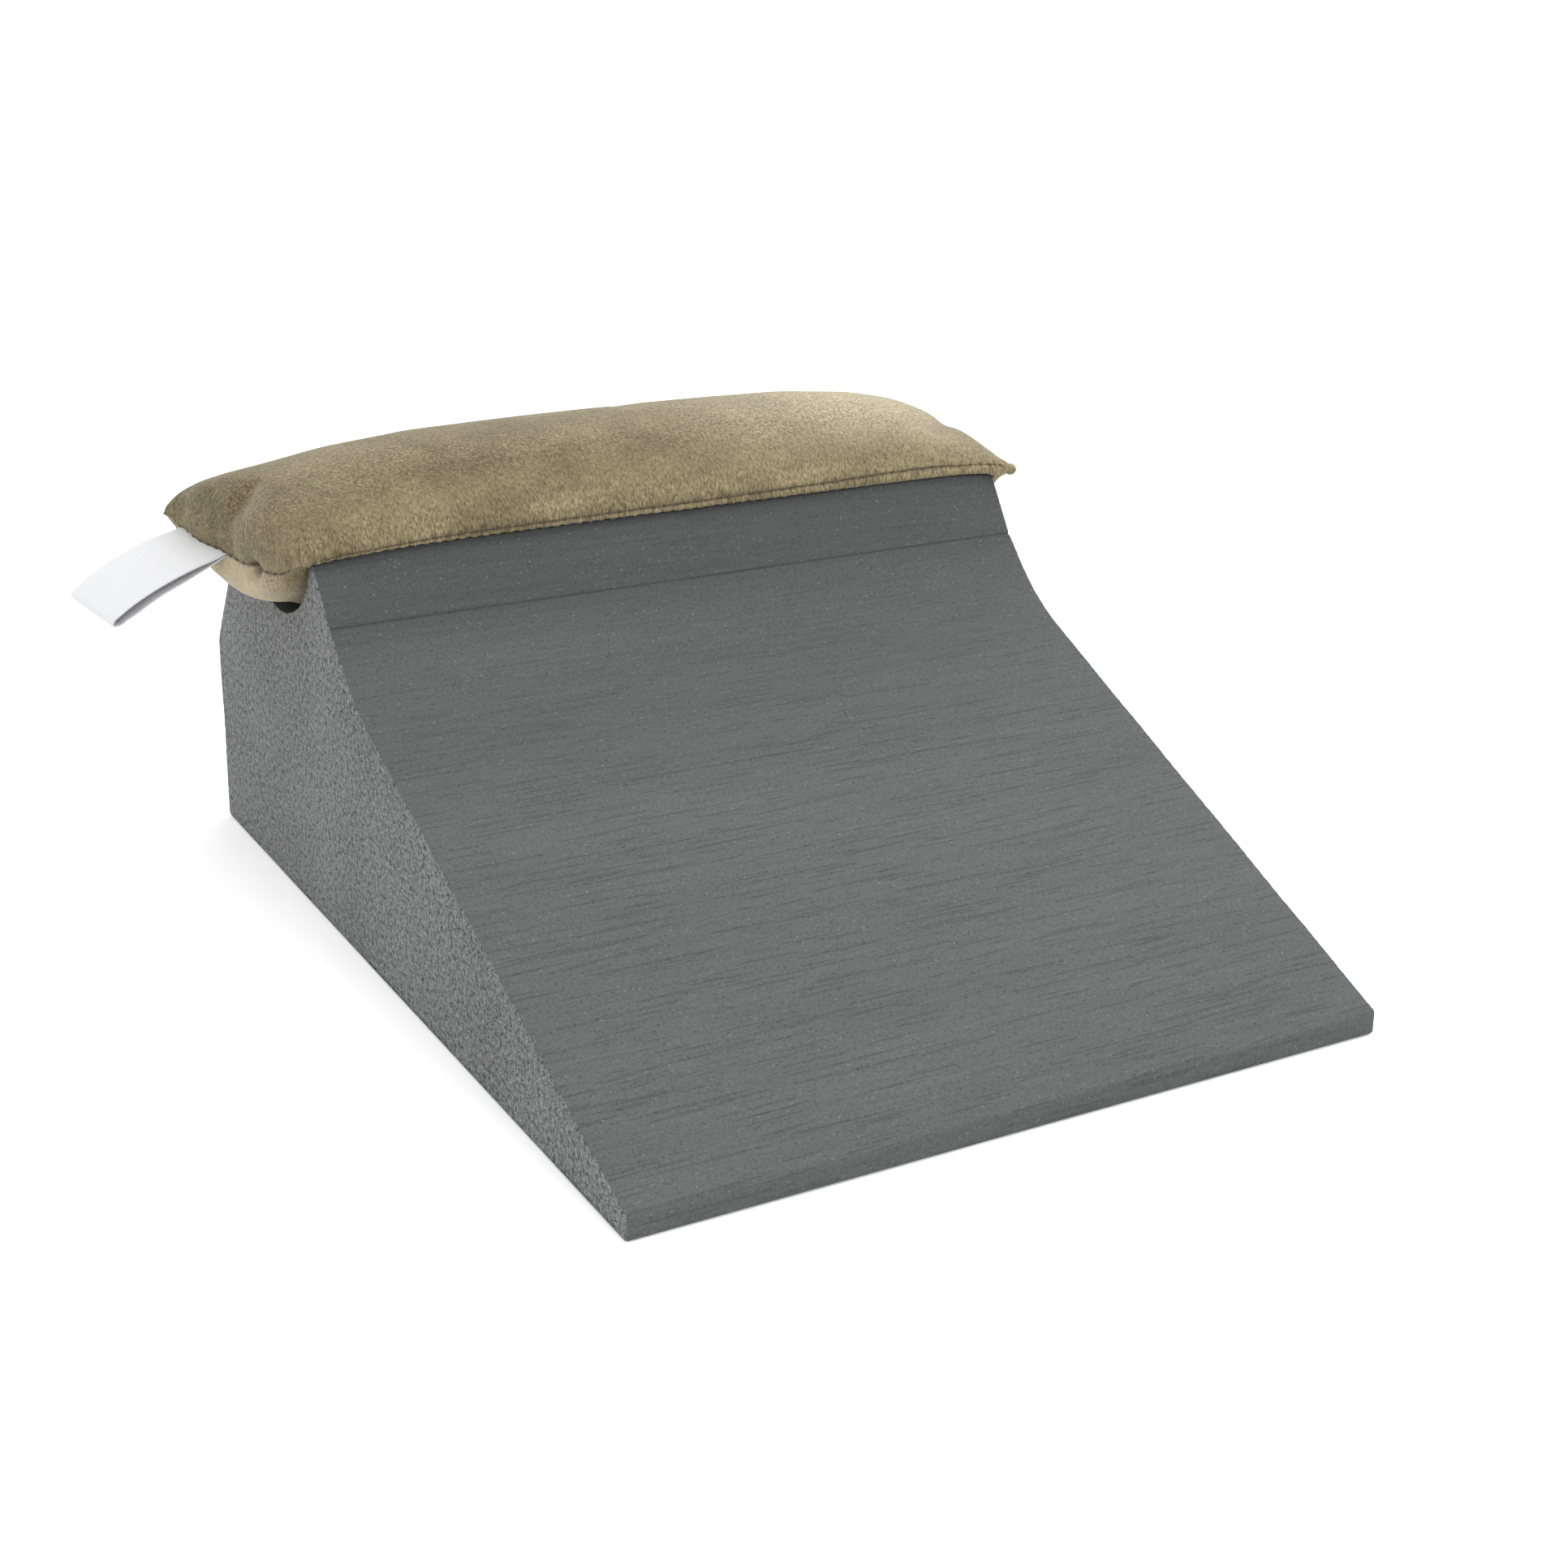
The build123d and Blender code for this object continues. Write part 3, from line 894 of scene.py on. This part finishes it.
def take_panel(bag, panel_number, name):
    """One panel cut from the bag, with its own thickness and a thin hem."""
    piece = copy_of(bag, name)
    piece.vertex_groups.clear()
    to_seam = tree_of(points_of(bag)[seam_loop(bag)])
    bpy.ops.object.mode_set(mode="EDIT")
    select_where(piece, "FACE", lambda face: face.material_index != panel_number)
    bpy.ops.mesh.delete(type="FACE")
    bpy.ops.object.mode_set(mode="OBJECT")
    piece.data.materials.pop(index=1 - panel_number)
    hem = piece.vertex_groups.new(name="hem")
    for vertex in piece.data.vertices:
        hem.add([vertex.index], min(1.0, 0.2 + to_seam.find(vertex.co)[2] / (HEM_WIDTH * MM)), "REPLACE")
    thickness = {"thickness": CLOTH_THICKNESS * MM, "offset": -1, "use_even_offset": False}
    finish_modifier(piece, "SOLIDIFY", vertex_group="hem", **thickness)
    smooth_by_angle(piece, 70)
    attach(piece, "bolster")
    return piece


def make_filling(bag):
    """The loose fibre inside, a little smaller than the bag and lumpy."""
    piece = copy_of(bag, "loose_filling")
    finish_modifier(piece, "DECIMATE", decimate_type="UNSUBDIV", iterations=2)
    points = points_of(piece)
    core = np.array([0.0, (foam_low.y / MM + CRADLE_MIDDLE.x) * MM, FILLING_HEIGHT * MM])
    lumps = np.array([noise.noise(Vector(point) / (LUMP_SIZE * MM)) for point in points])
    set_points(piece, core + (points - core) * (np.array(FILLING_SHARE) + FILLING_LUMPS * lumps[:, None]))
    piece.data.materials.clear()
    piece.data.materials.append(filling_finish())
    smooth_by_angle(piece, 70)
    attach(piece, "bolster")
    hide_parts("filling")


def make_stitches(bag):
    """A short thread stitch at every pucker, sunk in the seam."""
    line = points_of(bag)[seam_loop(bag)]
    lengths, whole = arc_lengths(line)
    closed = np.vstack([line, line[:1]])
    closed_lengths = np.append(lengths, whole)
    count = round(whole / STITCH_PITCH)
    middle = line.mean(axis=0)

    def place_at(share):
        """The seam's place at a share of its length, counted in pitches."""
        length = share * whole / count
        return Vector([np.interp(length, closed_lengths, closed[:, axis]) for axis in range(3)])

    stitches = []
    for number in range(count):
        start, end = (place_at(number + share) for share in STITCH_SPAN)
        if min((start - Vector(corner) * MM).length for corner in SEAM_CORNERS) < BARE_CORNER * MM:
            continue
        deselect()
        bpy.ops.mesh.primitive_cylinder_add(vertices=6, radius=THREAD_RADIUS, depth=(end - start).length)
        stitch = bpy.context.active_object
        out = (start + end) / 2 - Vector(middle)
        out.x *= 0.15
        out.z = 0
        stitch.location = (start + end) / 2 + out.normalized() * THREAD_STAND
        stitch.rotation_euler = (end - start).to_track_quat("Z", "Y").to_euler()
        bpy.ops.object.mode_set(mode="EDIT")
        bpy.ops.mesh.select_all(action="SELECT")
        bpy.ops.mesh.bevel(offset=THREAD_CHAMFER, segments=1)
        bpy.ops.object.mode_set(mode="OBJECT")
        stitches.append(stitch)
    pick(stitches[0])
    for stitch in stitches:
        stitch.select_set(True)
    bpy.ops.object.join()
    piece = settle(bpy.context.active_object)
    piece.name = "seam_stitches"
    piece.data.materials.append(thread_finish())
    smooth_by_angle(piece, 60)
    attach(piece, "bolster")
    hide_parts("seam_thread")


def make_bolster():
    """The cushion's pieces, all taken from one bag; the bag itself is thrown away."""
    bag = make_bag()
    make_filling(bag)
    gather_seam(bag)
    top, under = take_panel(bag, 0, "plush_top"), take_panel(bag, 1, "plush_under")
    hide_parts("cover_top_panel")
    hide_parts("cover_bottom_panel")
    make_stitches(bag)
    bpy.data.objects.remove(bag)


# ---------------------------------------------------------------- woven tab

TAB_ROOT_BACK, TAB_ROOT_FRONT = Vector((-118.0, 96.5, 93.4)), Vector((-113.0, 77.5, 90.4))
TAB_HEADING = Vector((-0.92, -0.17, -0.35))
TAPE_WIDTH, TAPE_LENGTH = 20.0, 70.0
TAPE_THICKNESS = 0.35
TAPE_CUP, TAPE_TWIST, TAPE_TWIST_LENGTH = 0.35, 0.25, 9  # how far its edges stand up, and its slight twist
TAPE_LOOP = [  # distance from the seam and height over the loop's middle, in millimetres
    (-2.5, 0.2), (0, 0.4), (8, 1.7), (16, 2.3), (24, 2.0), (29.5, 1.1), (32.0, 0.3),
    (32.6, -0.5), (31.8, -1.2), (28, -1.2), (19, -0.2), (9, -0.3), (0, -0.35), (-2.5, -0.3),
]


def make_tab():
    """A tape folded into a loop and caught in the end seam; its lower layer sags a little."""
    deselect()
    bpy.ops.mesh.primitive_grid_add(x_subdivisions=110, y_subdivisions=18, size=2)
    piece = bpy.context.active_object
    piece.name = "woven_tab_tape"
    grid = points_of(piece)
    share, across = (grid[:, 0] + 1) / 2, grid[:, 1]
    widthwise = (TAB_ROOT_FRONT - TAB_ROOT_BACK).normalized()
    heading = (TAB_HEADING - TAB_HEADING.dot(widthwise) * widthwise).normalized()
    upward = heading.cross(widthwise)
    upward = upward if upward.z > 0 else -upward
    loop = smooth_path(TAPE_LOOP)(share)
    twist = TAPE_TWIST * np.sin(loop[:, 0] / TAPE_TWIST_LENGTH) * across
    rise = loop[:, 1] + TAPE_CUP * across**2 - twist
    middle = np.array((TAB_ROOT_BACK + TAB_ROOT_FRONT) / 2)
    points = middle + np.outer(loop[:, 0], heading) + np.outer(rise, upward)
    set_points(piece, (points + np.outer(across * TAPE_WIDTH / 2, widthwise)) * MM)
    places = piece.data.attributes.new("tape_place", "FLOAT_VECTOR", "POINT")
    flat = np.column_stack([share * TAPE_LENGTH, across * TAPE_WIDTH / 2, np.zeros(len(grid))])
    places.data.foreach_set("vector", flat.ravel())
    finish_modifier(piece, "SOLIDIFY", thickness=TAPE_THICKNESS * MM, offset=0)
    piece.data.materials.append(tape_finish())
    smooth_by_angle(piece, 60)
    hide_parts("woven_tab")
    root = Vector(middle) * MM
    root - heading * 0.5 * MM
    root + heading * 5 * MM
    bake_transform(piece)


# ---------------------------------------------------------------- floor, light and camera

FLOOR_DROP = 0.0002  # how far the floor lies under the block, in metres
CAMERA_PLACE = (-0.29225, -0.51560, 0.27398)
CAMERA_PAN, CAMERA_TILT, CAMERA_ROLL = -30.248, 68.224, 1.444  # in degrees


def make_floor():
    """A flat pale sheet that the block stands on; its faint glow keeps the shadow on it soft."""
    deselect()
    bpy.ops.mesh.primitive_plane_add(size=8, location=(0, 0, foam_low.z - FLOOR_DROP))
    floor = bpy.context.active_object
    floor.name = "floor"
    settle(floor)
    paper = Shader("floor_paper", Base_Color=(0.93, 0.93, 0.93, 1), Roughness=0.9, Emission_Strength=0.2)
    paper.surface.inputs["Emission Color"].default_value = (1, 1, 1, 1)
    floor.data.materials.append(paper.material)


def softbox(name, place, aim, size, power):
    """A square lamp, size in metres and power in watts."""
    light = bpy.data.lights.new(name, "AREA")
    light.shape, light.size, light.energy = "SQUARE", size, power
    lamp = bpy.data.objects.new(name, light)
    lamp.location = place
    lamp.rotation_euler = (Vector(aim) - Vector(place)).to_track_quat("-Z", "Y").to_euler()
    bpy.context.scene.collection.objects.link(lamp)


def make_lights():
    middle = (0, 0.03, 0.06)
    softbox("key", (0.25, -0.15, 1.1), middle, 0.9, 6)
    softbox("front_fill", (0.3, -1.1, 0.7), middle, 1.0, 4.5)
    softbox("left_fill", (-1.1, 0.0, 0.5), middle, 0.9, 2.5)
    softbox("back_right", (0.95, 0.75, 0.55), middle, 0.7, 4)
    bpy.context.scene.view_settings.view_transform = "Standard"
    world = bpy.data.worlds.new("studio")
    world.use_nodes = True
    sky = world.node_tree.nodes["Background"]
    sky.inputs["Color"].default_value = (1, 1, 1, 1)
    sky.inputs["Strength"].default_value = 1.05
    bpy.context.scene.world = world


def make_camera():
    """Stands to the left of the front, a little above, with the faint roll of a hand-held camera."""
    lens = bpy.data.cameras.new("camera")
    lens.lens, lens.sensor_width = 57.0, 36.0
    lens.clip_start, lens.clip_end = 0.01, 50
    camera = bpy.data.objects.new("camera", lens)
    pan, tilt = Matrix.Rotation(radians(CAMERA_PAN), 3, "Z"), Matrix.Rotation(radians(CAMERA_TILT), 3, "X")
    camera.location = CAMERA_PLACE
    camera.rotation_euler = (pan @ tilt @ Matrix.Rotation(radians(CAMERA_ROLL), 3, "Z")).to_euler()
    bpy.context.scene.collection.objects.link(camera)
    bpy.context.scene.camera = camera


make_foam_block()
make_bolster()
make_tab()
make_floor()
make_lights()
make_camera()
